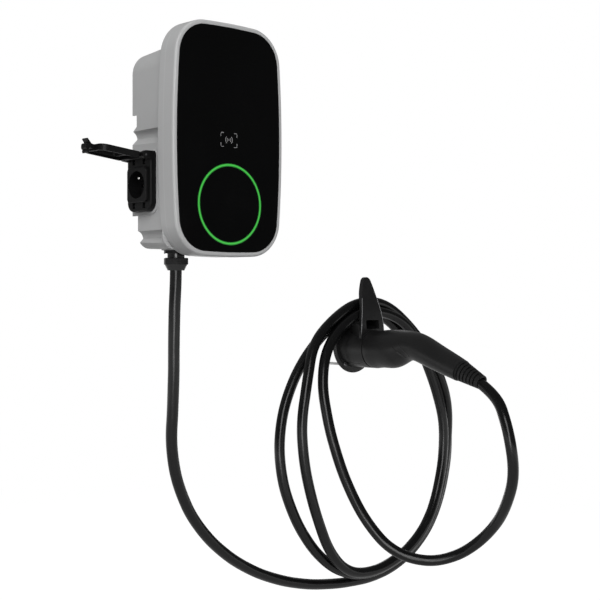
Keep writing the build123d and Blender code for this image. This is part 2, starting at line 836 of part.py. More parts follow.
with BuildPart() as socket_contacts:
    with BuildSketch(side_plane.offset(insert_tail)):
        with Locations(*contact_spots):
            Circle(contact_outer_radius - 0.02)
            Circle(contact_outer_radius - contact_wall, mode=Mode.SUBTRACT)
    extrude(amount=recess_floor - contact_floor - insert_tail)
socket_contacts.part.label = "socket_contacts"

with BuildPart() as socket_earth_pin:
    with BuildSketch(side_plane.offset(recess_floor - earth_root)):
        with Locations((frame_centre_depth, insert_centre_z + earth_offset)):
            Circle(earth_radius - 0.02)
    extrude(amount=earth_root + earth_length)
    fillet(socket_earth_pin.faces().sort_by(Axis.X)[0].edges(), 2)
socket_earth_pin.part.label = "socket_earth_pin"

# The lid stands open. In its own two planes x runs along the lid from the hinge: in the
# first, y points out of the closed lid, and in the second, z does.
open_angle = radians(lid_opening)
lid_along = (-sin(open_angle), 0, -cos(open_angle))
lid_side_plane = Plane(origin=(hinge_x, 0, hinge_z), x_dir=lid_along, z_dir=(0, 1, 0))
lid_face_plane = Plane(
    origin=(hinge_x, -frame_centre_depth, hinge_z),
    x_dir=lid_along,
    z_dir=(-cos(open_angle), 0, sin(open_angle)),
)
knuckle_depth = frame_centre_depth - frame_width / 2 + ear_width + knuckle_gap
knuckle_length = frame_width - 2 * ear_width - 2 * knuckle_gap
with BuildPart() as socket_lid:
    with BuildSketch(lid_face_plane.offset(-lid_rim)) as lid_sketch:
        with Locations(((lid_start + lid_length) / 2, 0)):
            Rectangle(lid_length - lid_start, lid_width)
        fillet(lid_sketch.vertices().group_by(Axis.X)[-1], lid_corner)
        fillet(lid_sketch.vertices().group_by(Axis.X)[0], 3)
    extrude(amount=lid_rim + lid_outer)
    fillet(socket_lid.faces().sort_by(Axis.Z)[-1].edges(), lid_edge_round)
    with BuildSketch(lid_face_plane.offset(-lid_rim)) as lid_inside:
        with Locations(((lid_start + lid_length) / 2, 0)):
            Rectangle(lid_length - lid_start - 2 * lid_wall, lid_width - 2 * lid_wall)
        fillet(lid_inside.vertices().group_by(Axis.X)[-1], lid_corner - lid_wall)
        fillet(lid_inside.vertices().group_by(Axis.X)[0], 3 - lid_wall)
    extrude(amount=lid_rim + lid_outer - lid_wall, mode=Mode.SUBTRACT)
    # Knuckle between the ears, joined to the lid by a web
    with BuildSketch(lid_side_plane.offset(-knuckle_depth)):
        Circle(knuckle_radius)
        with Locations(((lid_start + lid_wall) / 2, lid_outer - 3.5)):
            Rectangle(lid_start + lid_wall, 5)
    extrude(amount=-knuckle_length)
    with BuildSketch(lid_side_plane.offset(-knuckle_depth)):
        Circle(pin_radius + pin_gap)
    extrude(amount=-knuckle_length, mode=Mode.SUBTRACT)
    # Latch at the free end: a neck, a thin finger tab, a knob and a snap arm below
    with BuildSketch(lid_side_plane.offset(-(frame_centre_depth - latch_width / 2))):
        with BuildLine():
            Polyline(
                (lid_length - lid_wall, -4.0),
                (lid_length - lid_wall, 1.8),
                (lid_length + 5.5, 2.6),
                (lid_length + 12.5, 9.2),
                (lid_length + 13.6, 8.0),
                (lid_length + 8.6, 2.2),
                (lid_length + 12.6, 2.0),
                (lid_length + 13.8, 0.2),
                (lid_length + 13.6, -4.4),
                (lid_length + 12.4, -6.2),
                (lid_length + 11.2, -6.6),
                (lid_length + 11.4, -9.6),
                (lid_length + 10.4, -11.2),
                (lid_length + 8.8, -11.0),
                (lid_length + 8.4, -4.0),
                close=True,
            )
        make_face()
    extrude(amount=-latch_width)
socket_lid.part.label = "socket_lid"

# Rubber ring in the lid that lands on the insert's face
seal_x = hinge_z - insert_centre_z
seal_face = -(pad_face_x + insert_face + hinge_x) - seal_gap
with BuildPart() as lid_seal:
    with BuildSketch(lid_face_plane.offset(lid_outer - lid_wall)):
        with Locations((seal_x, 0)):
            RectangleRounded(seal_ring_height, seal_ring_width, 5)
            RectangleRounded(
                seal_ring_height - 2 * seal_width, seal_ring_width - 2 * seal_width, 3, mode=Mode.SUBTRACT
            )
    extrude(amount=-(lid_outer - lid_wall + seal_face))
lid_seal.part.label = "lid_seal"

with BuildPart() as lid_pin:
    with BuildSketch(Plane.XZ.offset(frame_centre_depth - frame_width / 2)):
        with Locations((hinge_x, hinge_z)):
            Circle(pin_radius)
    extrude(amount=frame_width)
lid_pin.part.label = "lid_pin"

# Cable gland under the housing
collar_bottom = gland_face_z - gland_collar
nut_top = collar_bottom - gland_neck
nut_bottom = nut_top - gland_nut_height
dome_bottom = nut_bottom - gland_dome
body_bottom = nut_top - gland_body_tail + gland_seal_length
with BuildPart() as gland_body:
    with BuildSketch(bottom_plane.offset(collar_bottom)):
        RegularPolygon(gland_flats / 2, 6, major_radius=False)
    extrude(amount=gland_collar)
    with BuildSketch(bottom_plane.offset(body_bottom)):
        Circle(gland_thread_radius)
    extrude(amount=gland_boss_inner_z + locknut_height + 2 - body_bottom)
    with BuildSketch(bottom_plane.offset(body_bottom)):
        Circle(cable_radius + cable_gap)
    extrude(amount=gland_boss_inner_z + locknut_height + 2 - body_bottom, mode=Mode.SUBTRACT)
gland_body.part.label = "gland_body"

with BuildPart() as gland_locknut:
    with BuildSketch(bottom_plane.offset(gland_boss_inner_z)):
        RegularPolygon(gland_flats / 2, 6, major_radius=False)
        Circle(gland_thread_radius + 0.02, mode=Mode.SUBTRACT)
    extrude(amount=locknut_height)
gland_locknut.part.label = "gland_locknut"

seal_bottom = body_bottom - gland_seal_length
with BuildPart() as gland_seal:
    with BuildSketch(bottom_plane.offset(seal_bottom)):
        Circle(gland_thread_radius)
        Circle(cable_radius + 0.02, mode=Mode.SUBTRACT)
    extrude(amount=gland_seal_length)
gland_seal.part.label = "gland_seal"

with BuildPart() as gland_nut:
    with BuildSketch(bottom_plane.offset(nut_bottom)):
        RegularPolygon(gland_flats / 2, 6, major_radius=False)
    extrude(amount=gland_nut_height)
    chamfer(gland_nut.faces().sort_by(Axis.Z)[-1].edges(), 0.8)
    with BuildSketch(bottom_plane.offset(nut_bottom)):
        Circle(gland_flats / 2)
    extrude(amount=-gland_dome, taper=27)
    with BuildSketch(bottom_plane.offset(seal_bottom)):
        Circle(gland_thread_radius + 0.02)
    extrude(amount=nut_top - seal_bottom, mode=Mode.SUBTRACT)
    with BuildSketch(bottom_plane.offset(dome_bottom)):
        Circle(cable_radius + cable_gap)
    extrude(amount=seal_bottom - dome_bottom, mode=Mode.SUBTRACT)
gland_nut.part.label = "gland_nut"

# Holster: one moulding with a round flange, a sleeve, a saddle and an upright hook blade
holster_plane = Plane(origin=(holster_x, 0, 0), x_dir=(1, 0, 0), z_dir=(0, -1, 0))
holster_side = Plane(origin=(holster_x, 0, 0), x_dir=(0, -1, 0), z_dir=(-1, 0, 0))
blade_front = [(31.0, -193.5), (35.0, -211.0), (39.0, -230.0), (43.5, -250.0), (46.0, -270.0), (46.5, -302.0)]
blade_back = [(40.5, -302.0), (40.3, -270.0), (38.6, -256.0), (36.2, -243.0), (30.0, -226.0), (26.5, -210.0), (25.5, -193.5)]
blade_edge = [(26.5, -302.0), (26.3, -274.0), (22.4, -250.0), (17.4, -228.0), (9.2, -201.0)]
blade_tip_z = -193.5

# The saddle, cut to a round top and hollowed from below
with BuildPart() as saddle:
    with BuildSketch(holster_plane):
        with BuildLine():
            ThreePointArc(
                (-saddle_front_half_width, saddle_z - saddle_drop),
                (0, saddle_z),
                (saddle_front_half_width, saddle_z - saddle_drop),
            )
            Polyline(
                (saddle_front_half_width, saddle_z - saddle_drop),
                (saddle_front_half_width, sleeve_z + 10),
                (-saddle_front_half_width, sleeve_z + 10),
                (-saddle_front_half_width, saddle_z - saddle_drop),
            )
        make_face()
    extrude(amount=saddle_front_depth)
    with BuildSketch(Plane.XY.offset(sleeve_z)):
        with BuildLine():
            Polyline(
                (holster_x - saddle_rear_half_width, 1),
                (holster_x + saddle_rear_half_width, 1),
                (holster_x + saddle_front_half_width, -saddle_front_depth - 1),
                (holster_x - saddle_front_half_width, -saddle_front_depth - 1),
                close=True,
            )
        make_face()
    extrude(amount=saddle_z - sleeve_z + 1, mode=Mode.INTERSECT)
    with BuildSketch(Plane.XY.offset(sleeve_z)):
        with BuildLine():
            Polyline(
                (holster_x - saddle_rear_half_width + web_thickness, -flange_thickness),
                (holster_x + saddle_rear_half_width - web_thickness, -flange_thickness),
                (holster_x + saddle_front_half_width - web_thickness, -saddle_front_depth),
                (holster_x - saddle_front_half_width + web_thickness, -saddle_front_depth),
                close=True,
            )
        make_face()
    extrude(amount=saddle_z - saddle_drop - saddle_thickness - sleeve_z + 4, mode=Mode.SUBTRACT)

with BuildPart() as cable_holster:
    with BuildSketch(holster_side):
        with BuildLine():
            Spline(*blade_front)
            Line(blade_front[-1], blade_back[0])
            Spline(*blade_back)
            Line(blade_back[-1], blade_front[0])
        make_face()
    extrude(amount=40, both=True)
    with BuildSketch(holster_plane):
        with BuildLine():
            Spline(*blade_edge)
            ThreePointArc(blade_edge[-1], (0, blade_tip_z), (-blade_edge[-1][0], blade_edge[-1][1]))
            Spline(*[(-x, z) for x, z in reversed(blade_edge)])
            Line((-blade_edge[0][0], blade_edge[0][1]), blade_edge[0])
        make_face()
    extrude(amount=80, mode=Mode.INTERSECT)
    with BuildSketch(holster_plane):
        with Locations((0, flange_z)):
            Circle(flange_radius)
    extrude(amount=flange_thickness)
    chamfer(
        cable_holster.edges().filter_by(GeomType.CIRCLE).filter_by(lambda e: e.radius > flange_radius - 0.1).sort_by(
            Axis.Y
        )[0],
        length=flange_bevel,
        length2=flange_bevel_width,
    )
    with BuildSketch(holster_plane.offset(flange_thickness - 1)):
        with Locations((0, hub_z)):
            Circle(hub_radius)
    with BuildSketch(holster_plane.offset(hub_depth)):
        with Locations((0, sleeve_z)):
            Circle(sleeve_radius)
    loft()
    with BuildSketch(holster_plane.offset(hub_depth)):
        with Locations((0, sleeve_z)):
            Circle(sleeve_radius)
    extrude(amount=sleeve_depth - hub_depth)
    # Saddle under the cable: a round-topped hood that widens from the wall to the blade
    add(saddle.part)
    with BuildSketch(holster_plane.offset(flange_thickness)):
        with Locations((0, sleeve_z)):
            Circle(sleeve_radius)
    extrude(amount=sleeve_depth - flange_thickness)
    with BuildSketch(holster_plane.offset(flange_thickness)):
        with Locations((0, window_centre_z)):
            RectangleRounded(window_width, window_height, 2)
    extrude(amount=80, mode=Mode.SUBTRACT)
    with BuildSketch(holster_plane.offset(sleeve_depth)):
        with Locations((0, sleeve_z)):
            Circle(sleeve_bore_radius)
    extrude(amount=-(sleeve_depth - sleeve_floor), mode=Mode.SUBTRACT)
    with BuildSketch(holster_plane):
        with Locations((0, flange_z)):
            with PolarLocations(holster_screw_pcd / 2, holster_screw_count, start_angle=90):
                Circle(holster_screw_radius + 0.25)
    extrude(amount=flange_thickness, mode=Mode.SUBTRACT)
    with BuildSketch(holster_plane.offset(flange_thickness)):
        with Locations((0, flange_z)):
            with PolarLocations(holster_screw_pcd / 2, holster_screw_count, start_angle=90):
                Circle(driver_radius)
    extrude(amount=driver_depth - flange_thickness, mode=Mode.SUBTRACT)
cable_holster.part.label = "cable_holster"

with BuildPart() as holster_screws:
    with BuildSketch(holster_plane.offset(flange_thickness)):
        with Locations((0, flange_z)):
            with PolarLocations(holster_screw_pcd / 2, holster_screw_count, start_angle=90):
                Circle(holster_screw_head_radius)
    extrude(amount=holster_screw_head_height)
    fillet(holster_screws.faces().group_by(Axis.Y)[0].edges(), 1.2)
    with BuildSketch(holster_plane.offset(flange_thickness)):
        with Locations((0, flange_z)):
            with PolarLocations(holster_screw_pcd / 2, holster_screw_count, start_angle=90):
                Circle(holster_screw_neck_radius)
    extrude(amount=-flange_thickness)
    with BuildSketch(holster_plane):
        with Locations((0, flange_z)):
            with PolarLocations(holster_screw_pcd / 2, holster_screw_count, start_angle=90):
                Circle(holster_screw_radius)
    extrude(amount=flange_thickness - holster_screw_length)
holster_screws.part.label = "holster_screws"

# Plug: sections as depth, centre height, half height and half width
plug_sections = [
    (51.5, -314.0, 31.4, 31.4),
    (75.0, -313.6, 31.2, 31.0),
    (98.0, -312.6, 31.8, 30.0),
    (117.0, -309.6, 28.6, 27.6),
    (132.0, -306.6, 24.8, 25.2),
    (153.0, -308.8, 23.8, 24.2),
    (175.0, -316.4, 23.4, 23.8),
    (197.0, -325.0, 21.8, 22.6),
    (217.0, -332.6, 20.6, 21.0),
    (236.0, -339.6, 19.1, 19.4),
    (254.0, -347.0, 18.2, 18.6),
]
cable_points = [
    (-52, -55, -146), (-52, -55, -200), (-54, -53, -258), (-52, -50, -319), (-49, -44, -381),
    (-46, -34, -442), (-30, -27, -501), (5, -21, -563), (63, -17, -620), (140, -13, -666),
    (230, -11, -697), (325, -10, -711), (417, -11, -711), (495, -10, -686), (553, -10, -637),
    (586, -10, -569), (598, -12, -490), (586, -12, -411), (542, -9, -344), (477, -9, -293),
    (416, -10, -253), (355, -9, -252), (298, -9, -278), (248, -9, -320), (208, -9, -377),
    (186, -10, -443), (186, -14, -513), (207, -20, -579), (245, -23, -637), (297, -24, -681),
    (361, -24, -701), (427, -24, -693), (489, -26, -667), (538, -25, -623), (569, -22, -561),
    (582, -23, -490), (575, -31, -418), (542, -32, -351), (495, -22, -288), (426, -19, -238),
    (356, -19, -234), (296, -21, -263), (246, -25, -304), (225, -35, -364), (212, -34, -432),
    (218, -37, -506), (237, -43, -580), (267, -46, -649), (319, -41, -689), (387, -41, -692),
    (453, -48, -665), (504, -48, -621), (535, -43, -567), (550, -42, -507), (549, -43, -447),
    (532, -38, -388), (504, -34, -328), (463, -35, -274), (406, -29, -251), (352, -28, -253),
    (303, -30, -278), (263, -38, -315), (244, -49, -366), (246, -60, -425), (257, -71, -484),
    (274, -84, -541), (295, -105, -595), (318, -139, -637), (353, -185, -651), (389, -227, -634),
    (406, -270, -592), (386, -313, -546), (363, -346, -491), (351, -343, -425), (364, -308, -369),
    (364, -244, -343),
]
cable_end = Vector(*cable_points[-1])
boot_axis = (Vector(*cable_points[-2]) - cable_end).normalized()
boot_plane = Plane(origin=cable_end - boot_axis * cable_in_boot, x_dir=(1, 0, 0), z_dir=boot_axis)
with BuildPart() as plug_form:
    for depth, height, tall, wide in plug_sections:
        with BuildSketch(holster_plane.offset(depth)):
            with Locations((0, height)):
                Ellipse(wide, tall)
    loft()
    split(bisect_by=boot_plane, keep=Keep.BOTTOM)
with BuildPart() as plug_hollow:
    for depth, height, tall, wide in plug_sections:
        with BuildSketch(holster_plane.offset(depth)):
            with Locations((0, height)):
                Ellipse(wide - shell_wall, tall - shell_wall)
    loft()
    split(bisect_by=boot_plane.offset(-shell_end_wall), keep=Keep.BOTTOM)
    with BuildSketch(boot_plane):
        Circle(boot_neck_radius + boot_neck_gap)
    extrude(amount=-shell_end_wall - 1)
plug_split = Plane.YZ.offset(holster_x)
shell_parts = {}
for name, side in (("plug_shell_left", Keep.BOTTOM), ("plug_shell_right", Keep.TOP)):
    with BuildPart() as shell:
        add(plug_form.part)
        add(plug_hollow.part, mode=Mode.SUBTRACT)
        split(bisect_by=plug_split, keep=side)
    shell.part.label = name
    shell_parts[name] = shell.part

contact_spots_nose = [(0, 0), (-16, 0), (16, 0), (-8.5, -14), (8.5, -14), (-8, contact_row_z), (8, contact_row_z)]
nose_spots = [(x, sleeve_z + z) for x, z in contact_spots_nose]
with BuildPart() as plug_nose:
    with BuildSketch(holster_plane.offset(nose_tip_depth)):
        with Locations((0, sleeve_z)):
            Circle(nose_radius)
        with Locations((0, sleeve_z + nose_flat + 10)):
            Rectangle(2 * nose_radius, 20, mode=Mode.SUBTRACT)
    extrude(amount=sleeve_depth - nose_tip_depth)
    with BuildSketch(holster_plane.offset(sleeve_depth)):
        with Locations((0, sleeve_z)):
            Circle(nose_spigot_radius)
    extrude(amount=nose_spigot)
    with BuildSketch(holster_plane.offset(nose_tip_depth)):
        with Locations(*nose_spots):
            Circle(3.6)
    extrude(amount=contact_bore_depth, mode=Mode.SUBTRACT)
plug_nose.part.label = "plug_nose"

with BuildPart() as plug_contacts:
    with BuildSketch(holster_plane.offset(nose_tip_depth + 2)):
        with Locations(*nose_spots):
            Circle(3.58)
            Circle(2.9, mode=Mode.SUBTRACT)
    extrude(amount=contact_bore_depth - 2)
plug_contacts.part.label = "plug_contacts"

# Ribbed rubber boot where the cable leaves the plug
neck_start = -shell_end_wall - boot_neck_gap - boot_flange
with BuildPart() as plug_boot:
    with BuildSketch(boot_plane):
        Circle(boot_root_radius)
    with BuildSketch(boot_plane.offset(boot_length)):
        Circle(boot_tip_radius)
    loft()
    for rib in range(boot_rib_count):
        groove_start = 3.2 + rib * boot_rib_pitch
        share = (groove_start + boot_groove) / boot_length
        groove_floor = boot_root_radius + share * (boot_tip_radius - boot_root_radius) - boot_groove_depth
        with BuildSketch(boot_plane.offset(groove_start)):
            Circle(boot_root_radius + 2)
            Circle(groove_floor, mode=Mode.SUBTRACT)
        extrude(amount=boot_groove, mode=Mode.SUBTRACT)
    with BuildSketch(boot_plane.offset(neck_start)):
        Circle(boot_neck_radius)
    extrude(amount=-neck_start + 1)
    with BuildSketch(boot_plane.offset(neck_start)):
        Circle(boot_flange_radius)
    extrude(amount=boot_flange)
    with BuildSketch(boot_plane.offset(neck_start)):
        Circle(cable_radius + 0.02)
    extrude(amount=boot_length - neck_start, mode=Mode.SUBTRACT)
plug_boot.part.label = "plug_boot"

# The cable as laid: down from the gland, three times over the hook and up to the plug
cable_vectors = [Vector(*point) for point in cable_points]
cable_runs = [(b - a).length for a, b in zip(cable_vectors, cable_vectors[1:])]
cable_turns = [
    radians((b - a).get_angle(c - b)) for a, b, c in zip(cable_vectors, cable_vectors[1:], cable_vectors[2:])
]
cable_radii = [
    0.45 * min(before, after) / tan(turn / 2)
    for before, after, turn in zip(cable_runs, cable_runs[1:], cable_turns)
]
print("cable bend radii", [round(radius) for radius in cable_radii])
with BuildPart() as charging_cable:
    with BuildLine():
        FilletPolyline(*cable_points, radius=cable_radii)
    with BuildSketch(Plane(origin=cable_points[0], z_dir=(0, 0, -1))):
        Circle(cable_radius)
    sweep()
charging_cable.part.label = "charging_cable"

for node in (
    front_glass, light_ring, ring_leds, ring_light_board, card_reader_board, front_bezel,
    housing_gasket, rear_housing, cover_screws, wall_bracket, main_board, board_screws,
    power_relays, terminal_block, din_rail, socket_breaker, socket_frame, socket_gasket,
    socket_screws, socket_insert, socket_contacts, socket_earth_pin, socket_lid, lid_seal,
    lid_pin, gland_body, gland_locknut, gland_seal, gland_nut, cable_holster, holster_screws,
    plug_nose, plug_contacts, plug_boot, charging_cable,
):
    export_step(node.part, "parts/" + node.part.label + ".step")
for name, part in shell_parts.items():
    export_step(part, "parts/" + name + ".step")
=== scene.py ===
import bpy
import numpy as np
from mathutils import Matrix, Vector
from mathutils.bvhtree import BVHTree


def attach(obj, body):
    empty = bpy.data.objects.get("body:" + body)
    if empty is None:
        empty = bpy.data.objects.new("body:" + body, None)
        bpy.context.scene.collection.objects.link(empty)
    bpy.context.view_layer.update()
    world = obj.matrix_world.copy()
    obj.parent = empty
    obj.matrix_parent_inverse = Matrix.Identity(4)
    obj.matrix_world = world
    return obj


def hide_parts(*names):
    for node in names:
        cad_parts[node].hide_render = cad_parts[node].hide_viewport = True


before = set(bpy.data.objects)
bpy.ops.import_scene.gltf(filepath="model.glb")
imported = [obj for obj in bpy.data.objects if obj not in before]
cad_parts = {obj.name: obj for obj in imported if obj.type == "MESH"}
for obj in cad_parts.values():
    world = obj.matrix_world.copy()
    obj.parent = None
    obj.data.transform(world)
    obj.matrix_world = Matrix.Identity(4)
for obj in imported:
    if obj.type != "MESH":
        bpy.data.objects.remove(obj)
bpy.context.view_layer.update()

# Camera: it stands to the left of the box, a little under its lower edge, and looks at its
# front and left side. Its place comes from the outline of the glass and the light ring.
camera_place = (-1.1081, -1.4842, -0.2171)
camera_heading = 0.7376312
camera_pitch = -0.0074042
camera_roll = 0.0010823
camera_lens = 73.23
sensor_width = 36.0
nearest, farthest = 0.05, 60.0
sin_heading, cos_heading = np.sin(camera_heading), np.cos(camera_heading)
sin_pitch, cos_pitch = np.sin(camera_pitch), np.cos(camera_pitch)
forward = Vector((sin_heading * cos_pitch, cos_heading * cos_pitch, sin_pitch))
level_right = Vector((cos_heading, -sin_heading, 0.0))
level_up = level_right.cross(forward)
right = np.cos(camera_roll) * level_right + np.sin(camera_roll) * level_up
up = -np.sin(camera_roll) * level_right + np.cos(camera_roll) * level_up
camera_data = bpy.data.cameras.new("camera")
camera_data.lens = camera_lens
camera_data.sensor_width = sensor_width
camera_data.clip_start, camera_data.clip_end = nearest, farthest
camera = bpy.data.objects.new("camera", camera_data)
turned = Matrix((right, up, -forward)).transposed().to_4x4()
camera.matrix_world = Matrix.Translation(camera_place) @ turned
bpy.context.collection.objects.link(camera)
bpy.context.scene.camera = camera
bpy.context.scene.view_settings.view_transform = "Standard"


# Charging cable: five cores in a black polyurethane jacket, 17.4 mm thick. It drops out of the
# gland, runs three times over the holster's hook in loose uneven loops and ends in the plug.
cable_radius = 0.0087
cable_corners = 32
core_count = 5
core_ridge = 0.00007
core_lay = 0.34
steps_to_a_point = 14
cable_route = np.array([
    (-52, -55, -146), (-52, -55, -200), (-54, -53, -258), (-52, -50, -319), (-49, -44, -381),
    (-46, -34, -442), (-30, -27, -501), (5, -21, -563), (63, -17, -620), (140, -13, -666),
    (230, -11, -697), (325, -10, -711), (417, -11, -711), (495, -10, -686), (553, -10, -637),
    (586, -10, -569), (598, -12, -490), (586, -12, -411), (542, -9, -344), (477, -9, -293),
    (416, -10, -253), (355, -9, -252), (298, -9, -278), (248, -9, -320), (208, -9, -377),
    (186, -10, -443), (186, -14, -513), (207, -20, -579), (245, -23, -637), (297, -24, -681),
    (361, -24, -701), (427, -24, -693), (489, -26, -667), (538, -25, -623), (569, -22, -561),
    (582, -23, -490), (575, -31, -418), (542, -32, -351), (495, -22, -288), (426, -19, -238),
    (356, -19, -234), (296, -21, -263), (246, -25, -304), (225, -35, -364), (212, -34, -432),
    (218, -37, -506), (237, -43, -580), (267, -46, -649), (319, -41, -689), (387, -41, -692),
    (453, -48, -665), (504, -48, -621), (535, -43, -567), (550, -42, -507), (549, -43, -447),
    (532, -38, -388), (504, -34, -328), (463, -35, -274), (406, -29, -251), (352, -28, -253),
    (303, -30, -278), (263, -38, -315), (244, -49, -366), (246, -60, -425), (257, -71, -484),
    (274, -84, -541), (295, -105, -595), (318, -139, -637), (353, -185, -651), (389, -227, -634),
    (406, -270, -592), (386, -313, -546), (363, -346, -491), (351, -343, -425), (364, -308, -369),
    (364, -244, -343),
]) / 1000.0


def smooth_line(points):
    """Places along a smooth curve of order 3 that is pulled towards the given points and
    starts and ends on the first and last of them."""
    curve = bpy.data.curves.new("route", "CURVE")
    curve.dimensions = "3D"
    curve.resolution_u = steps_to_a_point
    spline = curve.splines.new("NURBS")
    spline.points.add(len(points) - 1)
    spline.points.foreach_set("co", np.c_[points, np.ones(len(points))].ravel())
    spline.order_u = 3
    spline.use_endpoint_u = True
    holder = bpy.data.objects.new("route", curve)
    bpy.context.collection.objects.link(holder)
    mesh = bpy.data.meshes.new_from_object(holder)
    line = np.empty(3 * len(mesh.vertices))
    mesh.vertices.foreach_get("co", line)
    bpy.data.objects.remove(holder)
    bpy.data.curves.remove(curve)
    bpy.data.meshes.remove(mesh)
    return line.reshape(-1, 3)


def make_piece(name, places, faces, uv=None, smooth=True):
    """A mesh object at the origin from an array of places and an array of faces. uv holds one
    pair for each corner of each face."""
    mesh = bpy.data.meshes.new(name)
    mesh.from_pydata(np.asarray(places).tolist(), [], [list(face) for face in faces])
    if uv is not None:
        layer = mesh.uv_layers.new(name="surface")
        layer.data.foreach_set("uv", np.asarray(uv, float).ravel())
    mesh.polygons.foreach_set("use_smooth", np.full(len(mesh.polygons), smooth))
    mesh.update()
    piece = bpy.data.objects.new(name, mesh)
    bpy.context.collection.objects.link(piece)
    return piece


def tube_round(line, radii, around):
    """A closed tube: at each place of the line a ring of points stands at the radius times the
    cosine of the turn along the side direction plus the sine of it along their cross product.
    The side direction is the depth axis less its share along the line. radii is a function of
    the length along the line and of the turn."""
    tangent = np.gradient(line, axis=0)
    tangent /= np.linalg.norm(tangent, axis=1)[:, None]
    side = np.array([0.0, 1.0, 0.0]) - tangent[:, 1:2] * tangent
    side /= np.linalg.norm(side, axis=1)[:, None]
    across = np.cross(tangent, side)
    along = np.r_[0.0, np.cumsum(np.linalg.norm(np.diff(line, axis=0), axis=1))]
    turn = np.arange(around) * 2 * np.pi / around
    radius = np.broadcast_to(radii(along[:, None], turn[None, :]), (len(line), around))
    out = np.cos(turn)[None, :, None] * side[:, None] + np.sin(turn)[None, :, None] * across[:, None]
    places = (line[:, None] + radius[:, :, None] * out).reshape(-1, 3)
    step = np.arange(len(line) - 1)[:, None] * around
    now = np.arange(around)[None, :]
    after = (now + 1) % around
    corners = [step + now, step + after, step + around + after, step + around + now]
    faces = np.stack(corners, -1).reshape(-1, 4)
    u0 = np.broadcast_to(now / around, (len(line) - 1, around))
    u1 = u0 + 1 / around
    v0 = np.broadcast_to(along[:-1, None], u0.shape)
    v1 = np.broadcast_to(along[1:, None], u0.shape)
    uv = np.stack([u0, v0, u1, v0, u1, v1, u0, v1], -1).reshape(-1, 2)
    last = (len(line) - 1) * around
    caps = [list(range(around))[::-1], list(range(last, last + around))]
    cap_uv = np.zeros((2 * around, 2))
    return places, faces.tolist() + caps, np.r_[uv, cap_uv]


def jacket_radius(along, turn):
    """The jacket's radius: the cable's own, plus a faint ridge for each core, which all wind
    round it once in each lay of the cores."""
    ridges = np.cos(core_count * (turn - 2 * np.pi * along / core_lay))
    return cable_radius - core_ridge + core_ridge * ridges


def start_material(name, colour, roughness, metallic=0.0, specular=0.5):
    """A new surface with its plain values on the shader's own sockets."""
    material = bpy.data.materials.new(name)
    material.use_nodes = True
    shader = material.node_tree.nodes["Principled BSDF"]
    shader.inputs["Base Color"].default_value = (*colour, 1.0)
    shader.inputs["Roughness"].default_value = roughness
    shader.inputs["Metallic"].default_value = metallic
    shader.inputs["Specular IOR Level"].default_value = specular
    return material


def fill_in(material, socket, value):
    """Sets a socket to a value, or joins it to another node's output."""
    if isinstance(value, bpy.types.NodeSocket):
        material.node_tree.links.new(value, socket)
    else:
        socket.default_value = value


def node(material, kind, **values):
    """A new node. Words that start with IN_ fill in its inputs, the others set its properties."""
    made = material.node_tree.nodes.new("ShaderNode" + kind)
    for name, value in values.items():
        if name.startswith("IN_"):
            fill_in(material, made.inputs[name[3:].replace("_", " ")], value)
        else:
            setattr(made, name, value)
    return made


def feed(material, name, value):
    """Fills in the named input of the material's main shader."""
    fill_in(material, material.node_tree.nodes["Principled BSDF"].inputs[name], value)


def object_place(material):
    """The place of the shaded point in the object's own coordinates."""
    return node(material, "TexCoord").outputs["Object"]


def spread(material, value, old, new, smooth=False):
    """The value carried from its old range to a new one and held inside it, in a straight line
    or, where smooth, along a curve that is level at both ends."""
    curve = "SMOOTHSTEP" if smooth else "LINEAR"
    made = node(
        material, "MapRange", interpolation_type=curve, IN_Value=value,
        IN_From_Min=old[0], IN_From_Max=old[1], IN_To_Min=new[0], IN_To_Max=new[1],
    )
    return made.outputs["Result"]


def mottle(material, place, scale, low=0.0, high=1.0, detail=3.0, stretch=None):
    """A soft noise between two values. stretch gives another scale to each direction."""
    noise_range = (0.3, 0.7)
    if stretch is not None:
        place = node(material, "Mapping", IN_Scale=stretch, IN_Vector=place).outputs["Vector"]
    noise = node(material, "TexNoise", IN_Scale=scale, IN_Detail=detail, IN_Vector=place)
    return spread(material, noise.outputs["Fac"], noise_range, (low, high))


def mixed(material, factor, first, second, blend_type="MIX"):
    """Two colours mixed by a factor; each of the three is a value or another node's output."""
    mix = node(
        material, "Mix", data_type="RGBA", blend_type=blend_type,
        IN_Factor=factor, IN_A=first, IN_B=second,
    )
    return mix.outputs["Result"]


def tint(material, factor, colour):
    """The colour, made darker and lighter by a factor about one, as the surface's colour."""
    feed(material, "Base Color", mixed(material, 1.0, (*colour, 1.0), factor, "MULTIPLY"))


def emboss(material, height, depth, strength, below=None):
    """A bump of that depth in metres, on top of another one if it is given."""
    bump = node(material, "Bump", IN_Strength=strength, IN_Distance=depth, IN_Height=height)
    if below is not None:
        fill_in(material, bump.inputs["Normal"], below)
    feed(material, "Normal", bump.outputs["Normal"])
    return bump.outputs["Normal"]


jacket_colour = (0.0045, 0.0045, 0.0047)
drawn_stretch = (14.0, 1.2, 1.0)
drawn_depth = 0.00003
skin_depth = 0.00001
jacket = start_material("cable_jacket", jacket_colour, roughness=0.22, specular=0.38)
jacket_uv = node(jacket, "UVMap", uv_map="surface").outputs["UV"]
jacket_place = object_place(jacket)
tint(jacket, mottle(jacket, jacket_place, scale=14.0, low=0.7, high=1.25), jacket_colour)
feed(jacket, "Roughness", mottle(jacket, jacket_place, scale=60.0, low=0.18, high=0.28))
drawn_lines = mottle(jacket, jacket_uv, scale=9.0, stretch=drawn_stretch)
drawn = emboss(jacket, drawn_lines, drawn_depth, strength=0.4)
skin = mottle(jacket, jacket_place, scale=2600.0)
emboss(jacket, skin, skin_depth, strength=0.4, below=drawn)

